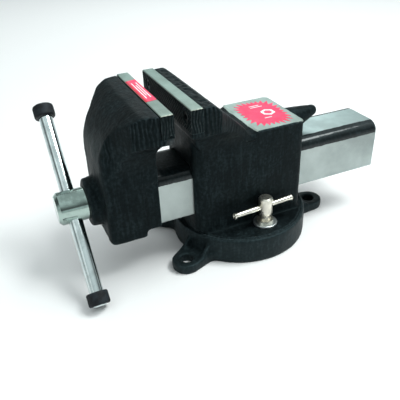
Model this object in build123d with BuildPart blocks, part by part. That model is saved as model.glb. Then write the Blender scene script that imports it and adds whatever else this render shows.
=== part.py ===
from build123d import *

import os
from math import cos, radians, sin

# A 150 mm bench vise on a swivel base, in millimetres.
# The origin is the centre of the swivel base, on the face that meets the bench.
# +Z is up. The jaws open along Y: the handle is at -Y and the slide bar leaves at +Y.

os.makedirs("parts", exist_ok=True)

# ---- Driving dimensions -------------------------------------------------------------

jaw_width = 150.0
jaw_top = 211.0
jaw_half = jaw_width / 2

# Jaw inserts, the hardened plates that grip the work
insert_thickness = 14.0
insert_height = 26.5
opening = 18.5                    # gap between the inserts as the vise stands
rear_face_y = -93.0               # gripping face of the fixed insert
front_face_y = rear_face_y - opening
insert_bottom = jaw_top - insert_height

# Rear jaw casting
body_half = 47.0
body_front = -80.0
body_bevel = (10.0, 16.0)          # how far each front corner is rounded, along X and Y
body_rear = 68.0
anvil_top = 156.5
head_underside = 176.0

# Slide bar, an inverted channel that is part of the front jaw casting
bar_half = 35.4
bar_bottom = 59.0
bar_top = 123.4
bar_rear = 192.5
bar_corner = 13.9
channel_half = 26.0
channel_top = 111.5
channel_corner = 16.0
passage_clearance = 0.3

# Front jaw casting
neck_half = 42.5
neck_front = -185.5
neck_rear = -140.5
neck_bottom = 48.5
collar_half = 40.5
collar_rear = -123.0
collar_bottom = 57.5
boss_front = -200.0
boss_radius = 28.5
front_wall_rear = -165.0

# Spindle, handle and nut
spindle_z = 92.0
spindle_radius = 13.0
journal_radius = 13.6
spindle_head_radius = 19.3
spindle_head_front = -234.0
spindle_end = 166.0
running_fit = 0.05                # radial clearance of a turning or sliding fit
static_fit = 0.02                 # radial clearance of parts that don't move on each other
handle_y = -216.5
handle_tilt = 44.5                # degrees from upright, top end towards -X
handle_radius = 8.0
handle_up = 119.6                 # from the spindle axis to the middle of each cap
handle_down = 110.0
cap_radius = 12.5
cap_length = 15.0
handle_tip = 1.5                  # of the bar, showing below the lower cap

# Swivel base and its lock
base_radius = 88.7
base_height = 33.5
base_floor = 16.3
rim_inner = 84.4
turntable_radius = 84.0
lug_angles = (88, -62, -122)      # one lug behind and two in front
lug_hole_radius = 7.8
lug_circle = 112.0
lug_end_radius = 18.0
lug_root_radius = 24.0
lug_thickness = 12.0
turntable_top = base_height + 0.5 # stands just proud of the rim
slot_middle = 59.2
lock_washer_radius = 15.2
lock_x = 58.7
lock_y = 7.6
lock_bar_z = 59.0
lock_bar_angle = 4.2              # degrees that the bar turns away from Y
lock_bar_front = 45.8             # from the lock screw's axis to each end of its bar
lock_bar_rear = 39.5


def along_y(y, x=0.0, z=spindle_z):
    """Plane that faces +Y, with its centre on a line parallel to Y."""
    return Plane(origin=(x, y, z), x_dir=(1, 0, 0), z_dir=(0, 1, 0))


def jaw_head(side_profile, plan_profile, front_profile):
    """Solid that has the given outline from the side, from above and from the front."""
    with BuildPart() as head:
        extrude(side_profile.sketch, amount=jaw_half, both=True)
        extrude(plan_profile.sketch, amount=2 * jaw_top, mode=Mode.INTERSECT)
        extrude(front_profile.sketch, amount=4 * jaw_top, both=True, mode=Mode.INTERSECT)
    return head.part


# ---- Swivel base --------------------------------------------------------------------

web_thickness = 5.5
web_top = 24.0
web_reach = 103.0                 # how far from the base centre a web runs out
root_fillet = 12.0
slot_floor = 4.0
slot_lip = 11.0
slot_inner, slot_outer = 50.0, 68.5
cavity_inner, cavity_outer = 44.0, 74.5
pivot_radius, pivot_top = 22.0, 22.0
entry_width = 34.0

with BuildPart() as swivel_base:
    with BuildSketch():
        Circle(base_radius)
    extrude(amount=base_height)
    fillet(swivel_base.edges().group_by(Axis.Z)[-1], 1.5)
    # Three lugs, each tapering to a round end and blended into the rim
    with BuildSketch():
        Circle(base_radius)
        for angle in lug_angles:
            along = Vector(1, 0, 0).rotate(Axis.Z, angle)
            with BuildSketch(mode=Mode.PRIVATE) as lug:
                with Locations(along * (base_radius - lug_root_radius)):
                    Circle(lug_root_radius)
                with Locations(along * (lug_circle + 1)):
                    Circle(lug_end_radius)
                make_hull()
            add(lug.sketch)
        roots = [v for v in vertices() if abs(v.center().length - base_radius) < 0.5]
        fillet(roots, root_fillet)
    extrude(amount=lug_thickness)
    # Two short webs hold each lug to the rim
    for angle in lug_angles:
        along = Vector(1, 0, 0).rotate(Axis.Z, angle)
        across = Vector(0, 0, 1).cross(along)
        for side in (1, -1):
            face = Plane(
                origin=across * side * (lug_end_radius - web_thickness),
                x_dir=along,
                z_dir=along.cross(Vector(0, 0, 1)),
            )
            with BuildSketch(face):
                with BuildLine():
                    Polyline(
                        (rim_inner - 2, 0),
                        (rim_inner - 2, web_top),
                        (base_radius, web_top),
                        (web_reach, lug_thickness),
                        (web_reach, 0),
                        close=True,
                    )
                make_face()
            extrude(amount=-side * web_thickness)
    # Recess for the turntable
    with BuildSketch(Plane.XY.offset(base_floor)):
        Circle(rim_inner)
        Circle(pivot_radius, mode=Mode.SUBTRACT)
    extrude(amount=base_height, mode=Mode.SUBTRACT)
    with BuildSketch(Plane.XY.offset(pivot_top)):
        Circle(rim_inner)
    extrude(amount=base_height, mode=Mode.SUBTRACT)
    # Round T-slot that the lock nuts run in, with one pocket where they drop in
    with BuildSketch(Plane.XY.offset(slot_floor)):
        Circle(cavity_outer)
        Circle(cavity_inner, mode=Mode.SUBTRACT)
    extrude(amount=slot_lip - slot_floor, mode=Mode.SUBTRACT)
    with BuildSketch(Plane.XY.offset(slot_floor)):
        Circle(slot_outer)
        Circle(slot_inner, mode=Mode.SUBTRACT)
    extrude(amount=base_height, mode=Mode.SUBTRACT)
    with BuildSketch(Plane.XY.offset(slot_floor)):
        with Locations((0, -slot_middle)):
            Rectangle(entry_width, cavity_outer - cavity_inner - 2)
    extrude(amount=base_height, mode=Mode.SUBTRACT)
    # Bolt hole through each lug
    for angle in lug_angles:
        with PolarLocations(lug_circle, 1, start_angle=angle):
            Cylinder(lug_hole_radius, 4 * lug_thickness, mode=Mode.SUBTRACT)

swivel_base.part.label = "swivel_base"
export_step(swivel_base.part, "parts/swivel_base.step")

# ---- Rear jaw casting ---------------------------------------------------------------

turntable_bottom = base_floor + running_fit
seat_y = rear_face_y + insert_thickness
ledge_y = rear_face_y + 1.0
screw_x = 58.5
screw_z = 198.0
screw_radius = 4.0
screw_head_radius = 6.5
screw_head_length = 8.0
screw_head_sink = 1.0
screw_hole_depth = 17.0           # in the casting behind the insert
screw_hole_spare = 2.0            # left between the end of a screw and its hole
socket_radius, socket_depth = 3.0, 4.0
lock_hole_radius = 7.6
scallop_height = 9.0
bolt_radius = 6.0
bolt_head_radius = 9.0
bolt_head_bottom, bolt_head_top = 24.0, 36.0
nut_half = 20.0
nut_length = 50.0
nut_bottom = bar_bottom - passage_clearance
nut_top = 109.5
spigot_radius = 15.0
spigot_depth = 8.0

with BuildSketch(Plane.YZ) as rear_side:
    with BuildLine():
        Polyline(
            (-8, anvil_top),
            (-8, 130),
            (-70, 130),
            (-70, 145),
            (body_front, 158),
        )
        ThreePointArc((body_front, 158), (-83, 169), (ledge_y, head_underside))
        Polyline(
            (ledge_y, head_underside),
            (ledge_y, insert_bottom),
            (seat_y, insert_bottom),
            (seat_y, jaw_top),
            (-66, jaw_top),
        )
        ThreePointArc((-66, jaw_top), (-38.5, 186.5), (-8, anvil_top))
    make_face()

with BuildSketch() as rear_plan:
    with BuildLine():
        Polyline((0, rear_face_y), (jaw_half, rear_face_y), (jaw_half, -58))
        ThreePointArc((jaw_half, -58), (58.5, -36), (body_half, -8))
        Polyline((body_half, -8), (body_half, 10), (0, 10))
        mirror(about=Plane.YZ)
    make_face()

with BuildSketch(Plane.XZ) as rear_front:
    with BuildLine():
        Polyline((0, jaw_top), (jaw_half, jaw_top), (jaw_half, head_underside + 2))
        ThreePointArc((jaw_half, head_underside + 2), (56, 165), (body_half, 140))
        Polyline((body_half, 140), (body_half, 120), (0, 120))
        mirror(about=Plane.YZ)
    make_face()

rear_head = jaw_head(rear_side, rear_plan, rear_front)

with BuildPart() as rear_jaw_body:
    # Turntable
    with BuildSketch(Plane.XY.offset(turntable_bottom)):
        Circle(turntable_radius)
    extrude(amount=turntable_top - turntable_bottom)
    # Upright block with the anvil on top
    with BuildSketch(Plane.XY.offset(turntable_top)):
        with BuildLine():
            bevel_x = body_half - body_bevel[0]
            bevel_y = body_front + body_bevel[1]
            Polyline((0, body_rear), (body_half, body_rear), (body_half, bevel_y))
            ThreePointArc((body_half, bevel_y), (body_half - 2.6, -73.5), (bevel_x, body_front))
            Line((bevel_x, body_front), (0, body_front))
            mirror(about=Plane.YZ)
        make_face()
        fillet(vertices().group_by(Axis.Y)[-1], 7)
    extrude(amount=anvil_top - turntable_top)
    anvil_edges = rear_jaw_body.faces().sort_by(Axis.Z)[-1].edges()
    chamfer(anvil_edges.filter_by(lambda edge: edge.center().Y > body_front / 2), 1.6)
    add(rear_head)
    # Horn behind the anvil
    with BuildSketch(Plane(origin=(0, body_rear - 8, 135.5), x_dir=(1, 0, 0), z_dir=(0, 1, 0.2))):
        Circle(21)
    with BuildSketch(Plane(origin=(0, 108, 145.5), x_dir=(1, 0, 0), z_dir=(0, 1, 0.2))):
        Circle(8)
    loft()
    with Locations((0, 108, 145.5)):
        Sphere(8)
    # Passage for the slide bar
    with BuildSketch(Plane.XZ.offset(-2 * body_rear)):
        with Locations((0, (bar_bottom + bar_top) / 2)):
            Rectangle(2 * (bar_half + passage_clearance),
                      bar_top - bar_bottom + 2 * passage_clearance)
        fillet(vertices().group_by(Axis.Y)[-1], bar_corner + passage_clearance)
    extrude(amount=4 * body_rear, mode=Mode.SUBTRACT)
    # Recess that turns on the pivot of the base, and the nut bolt above it
    with BuildSketch():
        Circle(pivot_radius + running_fit)
    extrude(amount=pivot_top + 0.5, mode=Mode.SUBTRACT)
    with BuildSketch():
        Circle(bolt_head_radius + 1)
    extrude(amount=bolt_head_top, mode=Mode.SUBTRACT)
    with BuildSketch():
        Circle(bolt_radius + 0.5)
    extrude(amount=bar_bottom, mode=Mode.SUBTRACT)
    with BuildSketch(Plane.XY.offset(nut_bottom - spigot_depth)):
        Circle(spigot_radius + static_fit)
    extrude(amount=spigot_depth, mode=Mode.SUBTRACT)
    # Holes for the two lock screws, through the turntable
    with Locations((lock_x, lock_y, base_floor), (-lock_x, lock_y, base_floor)):
        Cylinder(lock_hole_radius, 3 * base_floor, mode=Mode.SUBTRACT)
    # Scallops in the sides of the block, where the lock washers reach under it
    with Locations((lock_x, lock_y, turntable_top), (-lock_x, lock_y, turntable_top)):
        Cylinder(
            lock_washer_radius + 0.8,
            scallop_height,
            align=(Align.CENTER, Align.CENTER, Align.MIN),
            mode=Mode.SUBTRACT,
        )
    # Tapped holes for the insert screws
    with Locations(along_y(seat_y, screw_x, screw_z), along_y(seat_y, -screw_x, screw_z)):
        Cylinder(screw_radius + static_fit, 2 * screw_hole_depth, mode=Mode.SUBTRACT)

rear_jaw_body.part.label = "rear_jaw_body"
export_step(rear_jaw_body.part, "parts/rear_jaw_body.step")

# ---- Front jaw casting --------------------------------------------------------------

front_seat_y = front_face_y - insert_thickness
front_ledge_y = front_face_y - 1.0
neck_bevel_x = 25.0
neck_bevel_y = -171.5
neck_chamfer = 2.5
head_corner = (66.0, -154.5)      # where the end of the head turns into its front flare
head_bottom = 120.0               # where the head outline ends inside the neck

with BuildSketch(Plane.YZ) as front_side:
    with BuildLine():
        Polyline((front_seat_y, insert_bottom), (front_seat_y, jaw_top), (-143, 210.5))
        ThreePointArc((-143, 210.5), (-170.5, 190), (neck_front, 146))
        Polyline((neck_front, 146), (neck_front, head_bottom), (collar_rear, head_bottom))
        Line((collar_rear, head_bottom), (collar_rear, 152))
        ThreePointArc((collar_rear, 152), (-121.5, 166), (front_ledge_y, head_underside))
        Line((front_ledge_y, head_underside), (front_ledge_y, insert_bottom))
        Line((front_ledge_y, insert_bottom), (front_seat_y, insert_bottom))
    make_face()

with BuildSketch() as front_plan:
    with BuildLine():
        Polyline((0, front_face_y), (jaw_half, front_face_y), (jaw_half, -130), head_corner)
        ThreePointArc(head_corner, (54, -162.5), (neck_half, neck_bevel_y))
        ThreePointArc((neck_half, neck_bevel_y), (38, -181), (neck_bevel_x, neck_front))
        Line((neck_bevel_x, neck_front), (0, neck_front))
        mirror(about=Plane.YZ)
    make_face()

with BuildSketch(Plane.XZ) as front_front:
    with BuildLine():
        Polyline((0, jaw_top), (jaw_half, jaw_top), (jaw_half, head_underside + 2))
        ThreePointArc((jaw_half, head_underside + 2), (54, 164), (neck_half, 136))
        Polyline((neck_half, 136), (neck_half, head_bottom), (0, head_bottom))
        mirror(about=Plane.YZ)
    make_face()

front_head = jaw_head(front_side, front_plan, front_front)

with BuildPart() as front_jaw_body:
    # Neck, with its front corners rounded
    with BuildSketch(Plane.XY.offset(neck_bottom)):
        with BuildLine():
            Polyline((0, neck_rear), (neck_half, neck_rear), (neck_half, neck_bevel_y))
            ThreePointArc((neck_half, neck_bevel_y), (38, -181), (neck_bevel_x, neck_front))
            Line((neck_bevel_x, neck_front), (0, neck_front))
            mirror(about=Plane.YZ)
        make_face()
    extrude(amount=head_bottom + 5 - neck_bottom)
    chamfer(front_jaw_body.edges().group_by(Axis.Z)[0], neck_chamfer)
    # Collar where the slide bar grows out of the neck
    with BuildSketch(Plane.XY.offset(collar_bottom)):
        with Locations((0, (collar_rear + neck_rear) / 2 - 1)):
            Rectangle(2 * collar_half, collar_rear - neck_rear + 2)
    extrude(amount=head_bottom + 5 - collar_bottom)
    add(front_head)
    # Boss that the spindle head bears on
    with BuildSketch(along_y(neck_front + 1)):
        Circle(boss_radius + 2)
    with BuildSketch(along_y(boss_front)):
        Circle(boss_radius)
    loft()
    fillet(front_jaw_body.edges().group_by(Axis.Y)[0], 3)
    # Slide bar
    with BuildSketch(Plane.XZ.offset(-bar_rear)):
        with Locations((0, (bar_bottom + bar_top) / 2)):
            Rectangle(2 * bar_half, bar_top - bar_bottom)
        fillet(vertices().group_by(Axis.Y)[-1], bar_corner)
    extrude(amount=bar_rear - collar_rear + 10)
    # Channel inside the bar, open underneath and behind
    with BuildSketch(Plane.XZ.offset(-bar_rear)):
        with Locations((0, (bar_bottom + channel_top) / 2)):
            Rectangle(2 * channel_half, channel_top - bar_bottom)
        fillet(vertices().group_by(Axis.Y)[-1], channel_corner)
    extrude(amount=bar_rear - front_wall_rear, mode=Mode.SUBTRACT)
    # Bore for the spindle
    with BuildSketch(along_y(boss_front)):
        Circle(journal_radius + running_fit)
    extrude(amount=front_wall_rear - boss_front, mode=Mode.SUBTRACT)
    # Tapped holes for the insert screws
    with Locations(
        along_y(front_seat_y, screw_x, screw_z),
        along_y(front_seat_y, -screw_x, screw_z),
    ):
        Cylinder(screw_radius + static_fit, 2 * screw_hole_depth, mode=Mode.SUBTRACT)

front_jaw_body.part.label = "front_jaw_body"
export_step(front_jaw_body.part, "parts/front_jaw_body.step")

# ---- Jaw inserts and their screws ---------------------------------------------------


def jaw_insert(seat, facing):
    """Plate that stands on its seat and faces +Y (1) or -Y (-1), with two screw recesses."""
    face = seat + facing * insert_thickness
    with BuildPart() as insert:
        with Locations((0, (seat + face) / 2, (insert_bottom + jaw_top) / 2)):
            Box(jaw_width, insert_thickness, insert_height)
        chamfer(insert.edges().filter_by(Axis.X).group_by(Axis.Z)[-1], 0.8)
        for x in (screw_x, -screw_x):
            outward = Plane(origin=(x, face, screw_z), x_dir=(1, 0, 0), z_dir=(0, facing, 0))
            with Locations(outward):
                CounterBoreHole(
                    radius=screw_radius + 0.5,
                    counter_bore_radius=screw_head_radius + 0.5,
                    counter_bore_depth=screw_head_length + screw_head_sink,
                    depth=2 * insert_thickness,
                )
    return insert.part


def insert_screws(seat, facing):
    """Two socket-head screws that hold an insert to its seat."""
    face = seat + facing * insert_thickness
    shoulder = screw_head_length + screw_head_sink
    with BuildPart() as screws:
        for x in (screw_x, -screw_x):
            top = Plane(origin=(x, face, screw_z), x_dir=(1, 0, 0), z_dir=(0, facing, 0))
            with BuildSketch(top.offset(-shoulder)):
                Circle(screw_head_radius)
            extrude(amount=screw_head_length)
            with BuildSketch(top.offset(-shoulder)):
                Circle(screw_radius)
            extrude(amount=-(insert_thickness - shoulder + screw_hole_depth - screw_hole_spare))
            with BuildSketch(top.offset(-screw_head_sink)):
                RegularPolygon(radius=socket_radius, side_count=6, major_radius=False)
            extrude(amount=-socket_depth, mode=Mode.SUBTRACT)
    return screws.part


for name, seat, facing in (("rear", seat_y, -1), ("front", front_seat_y, 1)):
    insert = jaw_insert(seat, facing)
    insert.label = name + "_jaw_insert"
    export_step(insert, "parts/" + name + "_jaw_insert.step")
    screws = insert_screws(seat, facing)
    screws.label = name + "_insert_screws"
    export_step(screws, "parts/" + name + "_insert_screws.step")

# ---- Spindle and what holds it ------------------------------------------------------

retainer_radius = 18.5
retainer_front = front_wall_rear + running_fit
retainer_rear = -152.0
retainer_pin_radius = 3.0

across_retainer = Plane(
    origin=(0, (retainer_front + retainer_rear) / 2, spindle_z),
    x_dir=(0, 1, 0),
    z_dir=(1, 0, 0),
)

handle_up_dir = Vector(-sin(radians(handle_tilt)), 0, cos(radians(handle_tilt)))
handle_centre = Vector(0, handle_y, spindle_z)


def along_handle(distance):
    """Plane across the handle at a distance from the spindle axis, facing up the handle."""
    middle = handle_centre + handle_up_dir * distance
    return Plane(origin=middle, x_dir=(0, 1, 0), z_dir=handle_up_dir)


with BuildPart() as spindle_screw:
    with BuildSketch(Plane(origin=(0, 0, spindle_z), x_dir=(0, 1, 0), z_dir=(1, 0, 0))):
        with BuildLine():
            Polyline(
                (spindle_head_front, 0),
                (spindle_head_front, spindle_head_radius - 3.5),
                (spindle_head_front + 3.5, spindle_head_radius),
                (boss_front - running_fit, spindle_head_radius),
                (boss_front - running_fit, journal_radius),
                (retainer_rear, journal_radius),
                (retainer_rear, spindle_radius),
                (spindle_end - 3, spindle_radius),
                (spindle_end, spindle_radius - 3),
                (spindle_end, 0),
                close=True,
            )
        make_face()
    revolve(axis=Axis((0, 0, spindle_z), (0, 1, 0)))
    # Cross hole that the handle slides in
    with BuildSketch(along_handle(-2 * spindle_head_radius)):
        Circle(handle_radius + running_fit)
    extrude(amount=4 * spindle_head_radius, mode=Mode.SUBTRACT)
    # Cross hole for the retainer pin
    with Locations(across_retainer):
        Cylinder(retainer_pin_radius, 4 * retainer_radius, mode=Mode.SUBTRACT)

spindle_screw.part.label = "spindle_screw"
export_step(spindle_screw.part, "parts/spindle_screw.step")

with BuildPart() as spindle_retainer:
    with BuildSketch(along_y(retainer_front)):
        Circle(retainer_radius)
        Circle(journal_radius + static_fit, mode=Mode.SUBTRACT)
    extrude(amount=retainer_rear - retainer_front)
    with Locations(across_retainer):
        Cylinder(retainer_pin_radius, 4 * retainer_radius, mode=Mode.SUBTRACT)

spindle_retainer.part.label = "spindle_retainer"
export_step(spindle_retainer.part, "parts/spindle_retainer.step")

with BuildPart() as retainer_pin:
    with Locations(across_retainer):
        Cylinder(retainer_pin_radius - static_fit, 2 * retainer_radius - 1)

retainer_pin.part.label = "retainer_pin"
export_step(retainer_pin.part, "parts/retainer_pin.step")

with BuildPart() as spindle_nut:
    with BuildSketch(Plane.XY.offset(nut_bottom)):
        Rectangle(2 * nut_half, nut_length)
    extrude(amount=nut_top - nut_bottom)
    fillet(spindle_nut.edges().filter_by(Axis.Y).group_by(Axis.Z)[-1], 8)
    with BuildSketch(Plane.XY.offset(nut_bottom - spigot_depth)):
        Circle(spigot_radius)
    extrude(amount=spigot_depth)
    with BuildSketch(along_y(-nut_length / 2)):
        Circle(spindle_radius + running_fit)
    extrude(amount=nut_length, mode=Mode.SUBTRACT)
    with BuildSketch(Plane.XY.offset(nut_bottom - spigot_depth)):
        Circle(bolt_radius + static_fit)
    extrude(amount=spigot_depth + 14, mode=Mode.SUBTRACT)

spindle_nut.part.label = "spindle_nut"
export_step(spindle_nut.part, "parts/spindle_nut.step")

with BuildPart() as nut_bolt:
    with BuildSketch(Plane.XY.offset(bolt_head_bottom)):
        Circle(bolt_head_radius)
    extrude(amount=bolt_head_top - bolt_head_bottom)
    with BuildSketch(Plane.XY.offset(bolt_head_top)):
        Circle(bolt_radius)
    extrude(amount=nut_bottom + 12 - bolt_head_top)
    with BuildSketch(Plane.XY.offset(bolt_head_bottom)):
        RegularPolygon(radius=5, side_count=6, major_radius=False)
    extrude(amount=6, mode=Mode.SUBTRACT)

nut_bolt.part.label = "nut_bolt"
export_step(nut_bolt.part, "parts/nut_bolt.step")

# ---- Handle -------------------------------------------------------------------------

with BuildPart() as handle_bar:
    with BuildSketch(along_handle(-handle_down - cap_length / 2 - handle_tip)):
        Circle(handle_radius)
    extrude(amount=handle_down + handle_up + cap_length + handle_tip)
    chamfer(handle_bar.edges().filter_by(GeomType.CIRCLE), 1)

handle_bar.part.label = "handle_bar"
export_step(handle_bar.part, "parts/handle_bar.step")

for name, place in (("upper", handle_up), ("lower", -handle_down)):
    with BuildPart() as handle_cap:
        with BuildSketch(along_handle(place - cap_length / 2)):
            Circle(cap_radius)
        extrude(amount=cap_length)
        chamfer(handle_cap.edges().filter_by(GeomType.CIRCLE), 1.5)
        with BuildSketch(along_handle(place - cap_length / 2)):
            Circle(handle_radius + static_fit)
        extrude(amount=cap_length, mode=Mode.SUBTRACT)
    handle_cap.part.label = name + "_handle_cap"
    export_step(handle_cap.part, "parts/" + name + "_handle_cap.step")

# ---- Swivel locks -------------------------------------------------------------------

lock_washer_thickness = 3.0
lock_thread_radius = 7.0
lock_collar_radius, lock_collar_height = 10.5, 4.0
lock_head_radius = 8.9
lock_head_bottom, lock_head_top = 50.0, 72.0
lock_bar_radius = 3.2
lock_bar_end_radius, lock_bar_end_length = 4.2, 4.0
tee_width, tee_length, tee_height = 27.0, 26.0, 6.4

for name, side in (("right", 1), ("left", -1)):
    centre = Vector(side * lock_x, lock_y, 0)
    washer_bottom = Plane(origin=centre + Vector(0, 0, turntable_top))
    collar_bottom_z = turntable_top + lock_washer_thickness

    with BuildPart() as lock_washer:
        with BuildSketch(washer_bottom):
            Circle(lock_washer_radius)
            Circle(lock_thread_radius + 0.4, mode=Mode.SUBTRACT)
        extrude(amount=lock_washer_thickness)
        chamfer(lock_washer.edges().group_by(Axis.Z)[-1], 0.6)
    lock_washer.part.label = name + "_lock_washer"
    export_step(lock_washer.part, "parts/" + name + "_lock_washer.step")

    with BuildPart() as lock_nut:
        radial = Vector(centre.X, centre.Y, 0).normalized()
        with BuildSketch(Plane(origin=centre + Vector(0, 0, slot_floor + 0.3), x_dir=radial)):
            Rectangle(tee_width, tee_length)
            Circle(lock_thread_radius + running_fit, mode=Mode.SUBTRACT)
        extrude(amount=tee_height)
    lock_nut.part.label = name + "_lock_nut"
    export_step(lock_nut.part, "parts/" + name + "_lock_nut.step")

    # The bar lies beside the body, turned a little away from Y
    bar_dir = Vector(-side * sin(radians(lock_bar_angle)), cos(radians(lock_bar_angle)), 0)
    bar_front = Plane(
        origin=centre + Vector(0, 0, lock_bar_z) - bar_dir * lock_bar_front,
        x_dir=(0, 0, 1),
        z_dir=bar_dir,
    )
    bar_length = lock_bar_front + lock_bar_rear

    with BuildPart() as lock_screw:
        with BuildSketch(Plane(origin=centre, x_dir=(1, 0, 0), z_dir=(0, -1, 0))):
            with BuildLine():
                Polyline(
                    (0, slot_floor + 1),
                    (lock_thread_radius, slot_floor + 1),
                    (lock_thread_radius, collar_bottom_z),
                    (lock_collar_radius, collar_bottom_z),
                    (lock_collar_radius, collar_bottom_z + lock_collar_height),
                    (lock_thread_radius, collar_bottom_z + lock_collar_height),
                    (lock_thread_radius, lock_head_bottom - 2),
                    (lock_head_radius, lock_head_bottom),
                    (lock_head_radius, lock_head_top - 2),
                    (lock_head_radius - 2, lock_head_top),
                    (0, lock_head_top),
                    close=True,
                )
            make_face()
        revolve(axis=Axis((centre.X, centre.Y, 0), (0, 0, 1)))
        with BuildSketch(bar_front):
            Circle(lock_bar_radius + running_fit)
        extrude(amount=bar_length, mode=Mode.SUBTRACT)
    lock_screw.part.label = name + "_lock_screw"
    export_step(lock_screw.part, "parts/" + name + "_lock_screw.step")

    with BuildPart() as lock_bar:
        with BuildSketch(bar_front):
            Circle(lock_bar_radius)
        extrude(amount=bar_length)
        for start in (0, bar_length - lock_bar_end_length):
            with BuildSketch(bar_front.offset(start)):
                Circle(lock_bar_end_radius)
            extrude(amount=lock_bar_end_length)
    lock_bar.part.label = name + "_lock_bar"
    export_step(lock_bar.part, "parts/" + name + "_lock_bar.step")

# ---- Labels -------------------------------------------------------------------------

label_thickness = 0.3
burst_points = 22
burst_middle_y = 36.0

with BuildPart() as anvil_label:
    with BuildSketch(Plane.XY.offset(anvil_top)):
        with BuildLine():
            corners = []
            for step in range(2 * burst_points):
                turn = radians(180 / burst_points * step)
                reach = 1.0 if step % 2 == 0 else 0.84
                corners.append((39 * reach * cos(turn), burst_middle_y + 28 * reach * sin(turn)))
            Polyline(*corners, close=True)
        make_face()
    extrude(amount=label_thickness)

anvil_label.part.label = "anvil_label"
export_step(anvil_label.part, "parts/anvil_label.step")

with BuildPart() as jaw_label:
    with BuildSketch(Plane.XY.offset(jaw_top)):
        with BuildLine():
            Polyline(
                (-42, front_seat_y + 0.5),
                (31, front_seat_y + 0.5),
                (28.5, front_face_y - 1),
                (-45, front_face_y - 1),
                close=True,
            )
        make_face()
    extrude(amount=label_thickness)

jaw_label.part.label = "jaw_label"
export_step(jaw_label.part, "parts/jaw_label.step")
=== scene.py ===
import math

import bmesh
import bpy
import numpy as np
from mathutils import Matrix, Vector


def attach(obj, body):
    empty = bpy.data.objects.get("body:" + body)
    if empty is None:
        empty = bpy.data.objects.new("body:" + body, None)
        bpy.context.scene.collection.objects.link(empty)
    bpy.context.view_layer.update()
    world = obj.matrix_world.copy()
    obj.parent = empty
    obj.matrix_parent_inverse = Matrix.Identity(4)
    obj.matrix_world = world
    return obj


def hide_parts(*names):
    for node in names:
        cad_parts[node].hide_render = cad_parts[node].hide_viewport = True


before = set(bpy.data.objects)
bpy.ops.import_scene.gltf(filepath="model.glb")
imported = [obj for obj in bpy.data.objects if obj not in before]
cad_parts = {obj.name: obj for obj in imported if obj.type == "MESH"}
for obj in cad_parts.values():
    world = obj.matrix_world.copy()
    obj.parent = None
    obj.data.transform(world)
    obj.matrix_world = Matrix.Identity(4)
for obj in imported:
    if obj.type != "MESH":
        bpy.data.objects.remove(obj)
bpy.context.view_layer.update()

MM = 0.001
COARSER = 1.0   # wider mesh squares while working

# ---- Places on the vise, in mm ------------------------------------------------------

JAW_TOP, JAW_HALF = 211.0, 75.0
REAR_GRIP, FRONT_GRIP = -93.0, -111.5            # gripping faces of the two inserts
INSERT_SCREW_X, INSERT_SCREW_Z = 58.5, 198.0
BAR_HALF, BAR_TOP, BAR_BOTTOM, BAR_REAR = 35.4, 123.4, 59.0, 192.5
BAR_SIDE_TOP, BAR_TOP_HALF = 109.3, 21.7         # where its flats meet its rounded corners
COLLAR_REAR = -123.0
# ahead of THROAT_REAR the bar's top is left black paint, as painted shade and dark reflection under
# the jaws
THROAT_REAR = -73.0                              # the bar's top is ground behind it
NECK_TOP = 140.0
SPINDLE_Z = 92.0
SPINDLE_HEAD_REAR = -150.5
ANVIL_TOP = 156.5
SWIVEL_Z, SWIVEL_RADIUS = 34.0, 84.0             # underside of the turntable
LOCK_X, LOCK_Y, LOCK_BAR_Z = 58.7, 7.6, 59.0
SKIN = 0.4                                       # nearer than this to a flat is on it

# ---- Camera -------------------------------------------------------------------------

CAMERA_PLACE = (0.5224, -0.2770, 0.4067)
CAMERA_AZIMUTH, CAMERA_ELEVATION, CAMERA_ROLL = 65.926, 31.692, -1.986   # degrees
CAMERA_LENS, CAMERA_SENSOR = 46.349, 36.0                                # mm
CAMERA_SHIFT = (-0.0211, -0.0056)


def make_camera():
    """Camera at the photograph's place, looking down at the vise from its front right."""
    azimuth, elevation, roll = (
        math.radians(angle) for angle in (CAMERA_AZIMUTH, CAMERA_ELEVATION, CAMERA_ROLL)
    )
    back = Vector((
        math.sin(azimuth) * math.cos(elevation),
        -math.cos(azimuth) * math.cos(elevation),
        math.sin(elevation),
    ))
    right = Vector((0, 0, 1)).cross(back).normalized()
    up = back.cross(right)
    right, up = (
        math.cos(roll) * right + math.sin(roll) * up,
        -math.sin(roll) * right + math.cos(roll) * up,
    )
    data = bpy.data.cameras.new("camera")
    data.sensor_width = CAMERA_SENSOR
    data.lens = CAMERA_LENS
    data.shift_x, data.shift_y = CAMERA_SHIFT
    data.clip_start, data.clip_end = 0.01, 50.0
    camera = bpy.data.objects.new("camera", data)
    bpy.context.scene.collection.objects.link(camera)
    matrix = Matrix((right, up, back)).transposed().to_4x4()
    matrix.translation = Vector(CAMERA_PLACE)
    camera.matrix_world = matrix
    bpy.context.scene.camera = camera


make_camera()

# ---- Node material helpers ----------------------------------------------------------


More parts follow.
